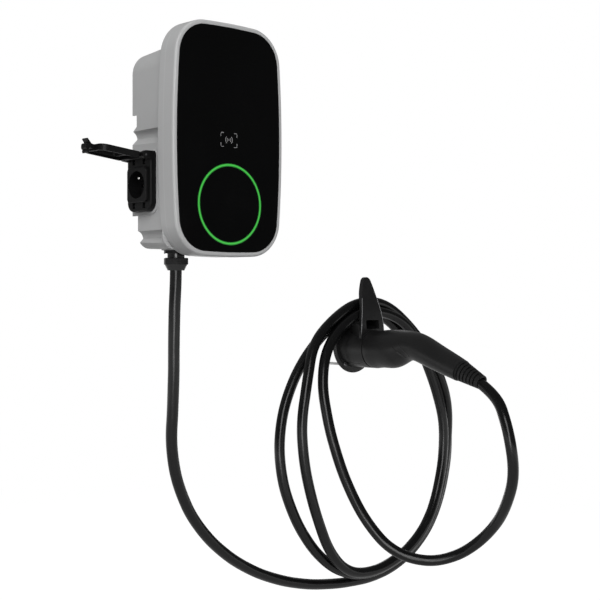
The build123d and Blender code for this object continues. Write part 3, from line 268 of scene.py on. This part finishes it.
cable_line = smooth_line(cable_route)
cable = make_piece("cable_jacket", *tube_round(cable_line, jacket_radius, cable_corners))
cable.data.materials.append(jacket)
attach(cable, "box")
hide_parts("charging_cable")


# Rear housing and front cover: one grey polycarbonate blend for both, injection moulded with a
# fine spark-eroded grain. The cover is screwed on from behind, through the housing's columns.
# Along the edge where the two meet the colour is lighter: a painted highlight in place of a
# rounded edge that catches the light.
parting_depth = 0.0908
highlight_half_width = 0.0007
# Gain of the painted highlight along the parting.
parting_highlight = 1.18


def dress(material, *names):
    """Gives that one material to each of the named solids."""
    for name in names:
        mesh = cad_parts[name].data
        mesh.materials.clear()
        mesh.materials.append(material)


def moulded(name, colour, roughness, grain, grain_depth, specular=0.5, cloud=0.06):
    """Moulded plastic: clouds of slightly different colour, a gloss that varies, shallow waves
    from shrinking and a fine grain whose size is given in metres."""
    cloud_scale, gloss_scale, wave_scale = 9.0, 35.0, 30.0
    gloss_change = 0.05
    wave_depth = 0.00012
    grains_to_a_cell = 0.6
    material = start_material(name, colour, roughness, specular=specular)
    place = object_place(material)
    tint(material, mottle(material, place, cloud_scale, 1 - cloud, 1 + cloud), colour)
    gloss = mottle(material, place, gloss_scale, roughness - gloss_change, roughness + gloss_change)
    feed(material, "Roughness", gloss)
    waves = emboss(material, mottle(material, place, wave_scale, detail=1.0), wave_depth, strength=0.35)
    grains = mottle(material, place, grains_to_a_cell / grain)
    emboss(material, grains, grain_depth, strength=0.6, below=waves)
    return material


def work_out(material, operation, *values, kind="Math"):
    """The result of an operation on values or other nodes' outputs."""
    made = node(material, kind, operation=operation)
    for socket, value in zip(made.inputs, values):
        fill_in(material, socket, value)
    return made.outputs["Value" if kind == "Math" or operation == "LENGTH" else "Vector"]


def depth_in(material):
    """The shaded point's coordinate along the depth axis, into the wall."""
    return node(material, "SeparateXYZ", IN_Vector=object_place(material)).outputs["Y"]


def colour_now(material):
    """What feeds the shader's colour so far."""
    return material.node_tree.nodes["Principled BSDF"].inputs["Base Color"].links[0].from_socket


housing_grey = moulded(
    "housing_grey", (0.467, 0.469, 0.471), roughness=0.47, grain=0.0005, grain_depth=0.00003,
    specular=0.42, cloud=0.025,
)
# A thin band about the parting is lightened in colour: a painted highlight.
past_parting = work_out(housing_grey, "ADD", depth_in(housing_grey), parting_depth)
off_parting = work_out(housing_grey, "ABSOLUTE", past_parting)
highlight_band = spread(housing_grey, off_parting, (0.0, highlight_half_width), (parting_highlight, 1.0), smooth=True)
highlighted_grey = mixed(housing_grey, 1.0, colour_now(housing_grey), highlight_band, "MULTIPLY")
feed(housing_grey, "Base Color", highlighted_grey)
dress(housing_grey, "rear_housing", "front_bezel")


# Corner webs: at the two lower corners the flange's plate runs out over the body's tighter
# corner. Each web is moulded in one with the housing and closes the step between the two.
web_radius = 0.0201
web_centre = (0.0731, -0.1382)
web_depths = (0.0770, 0.0798, 0.0804)
web_bevel = 0.0006
web_steps = 25


def joined(surfaces):
    """Several surfaces as one, each of them a pair of places and faces."""
    places, faces, used = [], [], 0
    for more_places, more_faces in surfaces:
        places.append(more_places)
        faces += [[used + corner for corner in face] for face in more_faces]
        used += len(more_places)
    return np.concatenate(places), faces


def both_sides(places, faces, middle_x=0.0):
    """A surface and its mirror image across the upright plane at middle_x. The image's faces
    run the other way round, so that they point outwards too."""
    image = places * [-1, 1, 1] + [2 * middle_x, 0, 0]
    return joined([(places, faces), (image, [face[::-1] for face in faces])])


def quarter_web():
    """The left web: a quarter of a disc, closed by its centre, at each of three depths. The
    last one is smaller by the bevel. Walls join the three, and the first and last are lids."""
    turn = np.linspace(np.pi, 1.5 * np.pi, web_steps)
    rings = []
    for depth, radius in zip(web_depths, (web_radius, web_radius, web_radius - web_bevel)):
        arc = np.c_[radius * np.cos(turn), np.full(web_steps, -depth), radius * np.sin(turn)]
        rings.append(np.r_[arc, [[0.0, -depth, 0.0]]])
    count = web_steps + 1
    now = np.arange(count)
    after = (now + 1) % count
    walls = [
        np.stack([now + low, after + low, after + low + count, now + low + count], 1)
        for low in (0, count)
    ]
    lids = [now[::-1].tolist(), (now + 2 * count).tolist()]
    places = np.concatenate(rings) + [-web_centre[0], 0.0, web_centre[1]]
    return places, np.concatenate(walls).tolist() + lids


corner_webs = make_piece("corner_webs", *both_sides(*quarter_web()), smooth=False)
corner_webs.data.materials.append(housing_grey)
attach(corner_webs, "box")


# Front glass: toughened glass that is printed black on its back, with a ground edge. It is
# bonded into the recess of the front cover.
glass_colour = (0.0018, 0.0019, 0.0020)
black_glass = start_material("black_glass", glass_colour, roughness=0.10, specular=0.2)
glass_place = object_place(black_glass)
feed(black_glass, "Roughness", mottle(black_glass, glass_place, scale=18.0, low=0.07, high=0.16))
tint(black_glass, mottle(black_glass, glass_place, scale=5.0, low=0.85, high=1.15), glass_colour)
dress(black_glass, "front_glass")


# Light ring: a milky acrylic diffuser, pressed into a groove of the glass and lit by sixteen
# lamps behind it. It glows green, brightest along the middle of its width.
ring_centre = (0.0, 0.0, -0.0925)
ring_middle_radius = 0.0566
ring_core = 0.0001
ring_half_width = 0.0016
ring_edge_glow = 0.03
ring_dim = (0.0, 0.035, 0.0, 1.0)
ring_bright = (0.052, 0.45, 0.052, 1.0)
ring_light = start_material("ring_light", (0.02, 0.20, 0.03), roughness=0.3)
from_centre = work_out(ring_light, "SUBTRACT", object_place(ring_light), ring_centre, kind="VectorMath")
in_face = work_out(ring_light, "MULTIPLY", from_centre, (1.0, 0.0, 1.0), kind="VectorMath")
ring_distance = work_out(ring_light, "LENGTH", in_face, kind="VectorMath")
off_middle = work_out(ring_light, "SUBTRACT", ring_distance, ring_middle_radius)
off_either = work_out(ring_light, "ABSOLUTE", off_middle)
glow = spread(ring_light, off_either, (ring_core, ring_half_width), (1.0, ring_edge_glow), smooth=True)
feed(ring_light, "Emission Color", mixed(ring_light, glow, ring_dim, ring_bright))
feed(ring_light, "Emission Strength", 1.0)
dress(ring_light, "light_ring")


# Card mark: a generic sign for a contactless card, four corner brackets round two pairs of
# waves, screen printed in light grey on the glass.
mark_centre = np.array([-0.0022, -0.0001])
mark_size = (0.0296, 0.0200)
mark_bracket = 0.0056
mark_bend = 0.0016
bracket_half_width = 0.0004
wave_half_width = 0.00045
wave_radii = (0.0034, 0.0062)
wave_reach = np.radians(48)
dot_half_length = 0.0008
dot_half_width = 0.0008
bend_steps, wave_steps, dot_steps = 7, 17, 7
glass_face = 0.1150
print_face = 0.11508


def flat_strip(middle, half_width):
    """A strip of even width along a flat line: each place moves to both sides along the line's
    normal, once on the print's face and once on the glass. Gives its places and faces."""
    step = np.gradient(middle, axis=0)
    normal = np.c_[-step[:, 1], step[:, 0]] / np.linalg.norm(step, axis=1)[:, None]
    rails = np.stack([middle + half_width * normal, middle - half_width * normal], 1)
    flat = rails.reshape(-1, 2) + mark_centre
    count = len(flat)
    front = np.c_[flat[:, 0], np.full(count, -print_face), flat[:, 1]]
    back = np.c_[flat[:, 0], np.full(count, -glass_face), flat[:, 1]]
    a = np.arange(0, count - 2, 2)
    top = np.stack([a, a + 1, a + 3, a + 2], 1)
    under = top[:, ::-1] + count
    left = np.stack([a, a + 2, a + 2 + count, a + count], 1)
    far = np.stack([a + 1, a + 1 + count, a + 3 + count, a + 3], 1)
    ends = [[0, count, count + 1, 1], [count - 2, count - 1, 2 * count - 1, 2 * count - 2]]
    return np.r_[front, back], np.r_[top, under, left, far, ends].tolist()


def corner_line(sign_x, sign_z):
    """An angle with a small round bend, at one corner of the mark."""
    half_x, half_z = mark_size[0] / 2, mark_size[1] / 2
    turn = np.linspace(0, np.pi / 2, bend_steps)
    bend_x = half_x - mark_bend + mark_bend * np.cos(turn)
    bend_z = half_z - mark_bend + mark_bend * np.sin(turn)
    ends = np.array([[half_x, half_z - mark_bracket], [half_x - mark_bracket, half_z]])
    return np.r_[ends[:1], np.c_[bend_x, bend_z], ends[1:]] * [sign_x, sign_z]


def wave_line(radius, side):
    """An arc about the mark's centre, to one side of it, as far up as down."""
    turn = np.linspace(-wave_reach, wave_reach, wave_steps)
    return np.c_[side * radius * np.cos(turn), radius * np.sin(turn)]


brackets = [flat_strip(corner_line(sx, sz), bracket_half_width) for sx in (-1, 1) for sz in (-1, 1)]
waves = [flat_strip(wave_line(radius, side), wave_half_width) for radius in wave_radii for side in (-1, 1)]
dot_line = np.c_[np.zeros(dot_steps), np.linspace(-dot_half_length, dot_half_length, dot_steps)]
mark_surfaces = brackets + waves + [flat_strip(dot_line, dot_half_width)]
card_mark = make_piece("card_mark", *joined(mark_surfaces), smooth=False)
card_mark_ink = moulded(
    "printed_grey", (0.30, 0.30, 0.305), roughness=0.5, grain=0.0004, grain_depth=0.00001
)
card_mark.data.materials.append(card_mark_ink)
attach(card_mark, "box")


# Side socket and its lid: black glass-filled polyamide, injection moulded with a fine matt
# grain. The frame is screwed on the housing's flank, and the lid turns on a pin in its ears.
black_nylon = moulded(
    "black_nylon", (0.0045, 0.0045, 0.0047), roughness=0.44, grain=0.0005, grain_depth=0.00003,
    specular=0.17, cloud=0.12,
)
dress(black_nylon, "socket_frame", "socket_insert", "socket_lid")


# Holster and plug: the same polyamide, a little glossier. The plug's two shells are screwed
# together, and on both flanks two slanting ribs mark the end of the barrel.
plug_middle_x = 0.364
rib_radius = 0.0007
rib_ends = (((-0.1160, -0.3075), (-0.1360, -0.3255)), ((-0.1270, -0.3015), (-0.1460, -0.3235)))
rib_steps = 25
thin_corners = 12
left_of_plug = 0.25
holster_nylon = moulded(
    "holster_nylon", (0.0090, 0.0090, 0.0092), roughness=0.38, grain=0.0006, grain_depth=0.00003,
    specular=0.44, cloud=0.12,
)
dress(holster_nylon, "cable_holster", "plug_nose", "plug_shell_left", "plug_shell_right")
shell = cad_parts["plug_shell_left"].data
shell_tree = BVHTree.FromPolygons(
    [vertex.co[:] for vertex in shell.vertices], [face.vertices[:] for face in shell.polygons]
)


def thin_tube(line, radius):
    """A closed tube of one radius along a line, as places and faces."""
    return tube_round(line, lambda along, turn: radius, thin_corners)[:2]


def rib_line(start, end):
    """A line that is straight from start to end in the side view and lies on the left shell's
    skin, where level rays from the left meet it."""
    flat = np.linspace(start, end, rib_steps)
    hits = [shell_tree.ray_cast((left_of_plug, y, z), (1.0, 0.0, 0.0)) for y, z in flat]
    return np.array([tuple(hit[0]) for hit in hits])


left_ribs = joined([thin_tube(rib_line(start, end), rib_radius) for start, end in rib_ends])
shell_ribs = make_piece("shell_ribs", *both_sides(*left_ribs, plug_middle_x))
shell_ribs.data.materials.append(holster_nylon)
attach(shell_ribs, "box")


# Blade edges: a thin round bead along each of the two front edges of the holster's blade.
# The beads are coloured light grey: a painted highlight where the edges catch the light.
blade_edge = np.array([
    (346.4, -38.9, -229.5), (345.8, -39.5, -232.2), (343.5, -41.8, -242.2), (341.5, -43.9, -252.2),
    (339.6, -45.3, -262.2), (338.2, -46.1, -272.2), (337.6, -46.6, -282.2), (336.9, -46.8, -289.5),
]) / 1000.0
bead_radius = 0.0006
left_bead = thin_tube(blade_edge, bead_radius)
blade_beads = make_piece("blade_beads", *both_sides(*left_bead, plug_middle_x))
# The beads' light grey colour is a painted highlight along the blade's edges.
painted_highlight_nylon = moulded(
    "painted_highlight_nylon", (0.19, 0.19, 0.195), roughness=0.28, grain=0.0006, grain_depth=0.00001, cloud=0.3
)
blade_beads.data.materials.append(painted_highlight_nylon)
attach(blade_beads, "box")


# Seals and the plug's boot: moulded black rubber. The seals lie in grooves, and the ribbed
# boot is pushed over the cable and held by the plug's shells.
black_rubber = moulded(
    "black_rubber", (0.0075, 0.0075, 0.0077), roughness=0.48, grain=0.0004, grain_depth=0.00003,
    specular=0.38, cloud=0.15,
)
dress(black_rubber, "housing_gasket", "socket_gasket", "lid_seal", "gland_seal", "plug_boot")


# Saddle pad: a strip of the same rubber, glued on the holster's saddle. The cable's strands
# lie on it, and it keeps them from slipping.
pad_half_width = 0.0215
pad_front, pad_back = -0.0360, -0.0045
pad_thick = 0.0036
pad_sunk = 0.0004
saddle_crest, saddle_bend = -0.2649, 0.0368
pad_columns, pad_rows = 31, 9


def pad_surface():
    """Two grids over the saddle, one on the pad's top and one just under the saddle's skin. The
    saddle falls to both sides by the square of the way out over twice its bend. Walls join the
    rims of the two grids."""
    across, depth = np.meshgrid(np.linspace(-1, 1, pad_columns), np.linspace(pad_front, pad_back, pad_rows))
    floor = saddle_crest - (pad_half_width * across) ** 2 / (2 * saddle_bend)
    x = plug_middle_x + pad_half_width * across
    layers = [np.c_[x.ravel(), depth.ravel(), (floor + lift).ravel()] for lift in (pad_thick, -pad_sunk)]
    cell = (np.arange(pad_rows - 1)[:, None] * pad_columns + np.arange(pad_columns - 1)).ravel()
    top = np.stack([cell, cell + 1, cell + 1 + pad_columns, cell + pad_columns], 1)
    number = np.arange(x.size).reshape(x.shape)
    rim = np.r_[number[0, :-1], number[:-1, -1], number[-1, :0:-1], number[:0:-1, 0]]
    after = np.roll(rim, -1)
    wall = np.stack([rim, rim + x.size, after + x.size, after], 1)
    return np.concatenate(layers), np.r_[top, top[:, ::-1] + x.size, wall].tolist()


saddle_pad = make_piece("saddle_pad", *pad_surface(), smooth=False)
saddle_pad.data.materials.append(black_rubber)
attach(saddle_pad, "box")


# Cable gland: polyamide without glass fibre, smooth from its mould. Its body is held in the
# housing's bottom by a nut, and its cap squeezes a seal round the cable.
gland_nylon = moulded(
    "gland_nylon", (0.0065, 0.0065, 0.0067), roughness=0.20, grain=0.0007, grain_depth=0.00001,
    specular=0.6, cloud=0.1,
)
dress(gland_nylon, "gland_body", "gland_locknut", "gland_nut")


# Housing screws and breaker rail: zinc plated steel. The screws are rolled, and the rail is
# cold rolled strip.
def steel(name, colour, roughness):
    """Metal with a plated bloom and fine lines along its height."""
    bloom_scale, gloss_scale, line_scale = 160.0, 420.0, 900.0
    darker, lighter = 0.88, 1.08
    gloss_change = 0.08
    line_stretch = (1.0, 1.0, 0.08)
    line_depth = 0.00001
    material = start_material(name, colour, roughness, metallic=1.0)
    place = object_place(material)
    tint(material, mottle(material, place, bloom_scale, darker, lighter), colour)
    gloss = mottle(material, place, gloss_scale, roughness - gloss_change, roughness + gloss_change)
    feed(material, "Roughness", gloss)
    lines = mottle(material, place, line_scale, stretch=line_stretch)
    emboss(material, lines, line_depth, strength=0.5)
    return material


zinc = steel("zinc_steel", (0.62, 0.62, 0.60), roughness=0.34)
dress(zinc, "cover_screws", "board_screws", "din_rail")


# Socket screws and hinge pin: blackened steel. The screws hold the socket's frame on the
# housing, and the pin is pushed through the frame's ears and the lid.
dark = steel("dark_steel", (0.13, 0.13, 0.135), roughness=0.36)
dress(dark, "socket_screws", "lid_pin")


# Holster screws: blackened steel heads on the flange. Behind the wall's face each screw sits
# in a pale nylon wall plug.
wall_face, plug_start = -0.0002, 0.0004
plug_colour = (0.94, 0.94, 0.93, 1.0)
black_screw = steel("black_screw", (0.13, 0.13, 0.135), roughness=0.30)
in_wall = spread(black_screw, depth_in(black_screw), (wall_face, plug_start), (0.0, 1.0))
feed(black_screw, "Base Color", mixed(black_screw, in_wall, colour_now(black_screw), plug_colour))
feed(black_screw, "Metallic", work_out(black_screw, "SUBTRACT", 1.0, in_wall))
dress(black_screw, "holster_screws")


# Contacts of the socket and the plug: turned or stamped brass with a silver plating, pressed
# into their plastic bodies.
silver = steel("contact_silver", (0.80, 0.79, 0.76), roughness=0.24)
dress(silver, "socket_contacts", "socket_earth_pin", "plug_contacts")


# Wall bracket: steel sheet, cut and folded, with a black powder coating. Four screws hold it
# on the wall, and the housing hangs on it.
powder = moulded(
    "bracket_powder", (0.018, 0.018, 0.019), roughness=0.55, grain=0.0008, grain_depth=0.00006
)
dress(powder, "wall_bracket")


# Boards: glass fibre laminate under a green solder mask. They are screwed on columns inside
# the closed housing.
board = moulded("board_green", (0.02, 0.12, 0.05), roughness=0.35, grain=0.0008, grain_depth=0.00002)
dress(board, "main_board", "ring_light_board", "card_reader_board")


# Relays, terminals, breaker and ring lamps: moulded cases in their usual colours. The breaker
# clips on its rail, and the others are soldered on their boards.
case_grain = 0.001
fine, coarse = 0.00001, 0.00002
for case, case_name, case_colour, case_roughness, case_depth in (
    ("power_relays", "relay_black", (0.02, 0.02, 0.022), 0.3, fine),
    ("terminal_block", "terminal_grey", (0.42, 0.43, 0.44), 0.45, coarse),
    ("socket_breaker", "breaker_white", (0.70, 0.70, 0.68), 0.42, coarse),
    ("ring_leds", "led_white", (0.85, 0.86, 0.80), 0.25, fine),
):
    dress(moulded(case_name, case_colour, case_roughness, case_grain, case_depth), case)


# Floor: a wide pale disc far below the set. It takes the set's shadow, and further out it fades
# to the white of the room. The lift keeps it pale where it is seen straight or in a reflection.
floor_level = -1.0
floor_radius = 25
floor_corners = 96
floor_grey = (0.45, 0.45, 0.45)
lift_seen = 0.54
lift_always = 0.22
fade_start, fade_end = 1.7, 3.2
floor_turn = np.arange(floor_corners) * 2 * np.pi / floor_corners
floor_rim = np.c_[
    floor_radius * np.cos(floor_turn), floor_radius * np.sin(floor_turn), np.full(floor_corners, floor_level)
]
floor = make_piece("floor", floor_rim, [list(range(floor_corners))], smooth=False)


def blend(material, factor, first, second):
    """Two shaders mixed: the first alone at factor 0, the second alone at 1."""
    made = node(material, "MixShader")
    for socket, value in zip(made.inputs, (factor, first, second)):
        fill_in(material, socket, value)
    return made.outputs[0]


floor_pale = start_material("floor_pale", floor_grey, roughness=0.9, specular=0.0)
floor_shader = floor_pale.node_tree.nodes["Principled BSDF"].outputs[0]
rays = node(floor_pale, "LightPath").outputs
seen_or_mirrored = work_out(floor_pale, "MAXIMUM", rays["Is Camera Ray"], rays["Is Glossy Ray"])
seen_at_all = work_out(floor_pale, "MAXIMUM", seen_or_mirrored, rays["Is Transmission Ray"])
lift_level = work_out(floor_pale, "MULTIPLY_ADD", rays["Is Camera Ray"], lift_seen, lift_always)
lift = node(floor_pale, "Emission", IN_Strength=lift_level)
lifted = node(floor_pale, "AddShader")
fill_in(floor_pale, lifted.inputs[0], floor_shader)
fill_in(floor_pale, lifted.inputs[1], lift.outputs[0])
white = node(floor_pale, "Emission", IN_Strength=1.0)
way_out = work_out(floor_pale, "LENGTH", object_place(floor_pale), kind="VectorMath")
fade = spread(floor_pale, way_out, (fade_start, fade_end), (0.0, 1.0), smooth=True)
faded = blend(floor_pale, fade, lifted.outputs[0], white.outputs[0])
floor_surface = blend(floor_pale, seen_at_all, floor_shader, faded)
fill_in(floor_pale, floor_pale.node_tree.nodes["Material Output"].inputs["Surface"], floor_surface)
floor.data.materials.append(floor_pale)


# Room: a white backdrop for the camera, an even light for the surfaces, and for reflections a
# dim room that grows lighter towards the wall's side.
room_white = (1.0, 1.0, 1.0, 1.0)
room_fill = 0.42
mirror_range = (-0.35, 0.75)
mirror_levels = (0.08, 0.24)
room = bpy.data.worlds.new("room")
room.use_nodes = True
bpy.context.scene.world = room
fill = room.node_tree.nodes["Background"]
fill.inputs["Color"].default_value = room_white
fill.inputs["Strength"].default_value = room_fill
room_rays = node(room, "LightPath").outputs
looking = node(room, "SeparateXYZ", IN_Vector=node(room, "TexCoord").outputs["Generated"])
mirror_level = spread(room, looking.outputs["Y"], mirror_range, mirror_levels, smooth=True)
mirrored = node(room, "Background", IN_Color=room_white, IN_Strength=mirror_level)
backdrop = node(room, "Background", IN_Color=room_white, IN_Strength=1.0)
reflects = work_out(room, "MAXIMUM", room_rays["Is Glossy Ray"], room_rays["Is Transmission Ray"])
unseen_room = blend(room, reflects, fill.outputs[0], mirrored.outputs[0])
whole_room = blend(room, room_rays["Is Camera Ray"], unseen_room, backdrop.outputs[0])
fill_in(room, room.node_tree.nodes["World Output"].inputs["Surface"], whole_room)


# Lamps: a broad soft lamp on the left in front lights the surfaces, a tall strip beside it only
# shines back from them, and a weak lamp stands behind on the right.
lamps_aim = Vector((0.2, 0.0, -0.25))


def soft_lamp(name, azimuth, distance, rise, size, power):
    """A soft lamp that stands at the azimuth, seen from the middle of the set, higher than it by
    the rise times the distance, and faces it."""
    angle = np.radians(azimuth)
    place = lamps_aim + distance * Vector((np.sin(angle), -np.cos(angle), rise))
    data = bpy.data.lights.new(name, "AREA")
    data.shape = "RECTANGLE"
    data.size, data.size_y = size
    data.energy = power
    lamp = bpy.data.objects.new(name, data)
    lamp.location = place
    lamp.rotation_euler = (lamps_aim - place).to_track_quat("-Z", "Y").to_euler()
    lamp.visible_camera = False
    bpy.context.collection.objects.link(lamp)
    return lamp


key_lamp = soft_lamp("key_lamp", azimuth=-42.0, distance=2.6, rise=0.55, size=(2.0, 1.6), power=52.0)
key_lamp.visible_glossy = False
strip_lamp = soft_lamp("strip_lamp", azimuth=-41.0, distance=2.6, rise=0.10, size=(0.95, 2.9), power=43.0)
strip_lamp.visible_diffuse = False
soft_lamp("rim_lamp", azimuth=140.0, distance=2.8, rise=0.10, size=(0.8, 2.2), power=10.0)
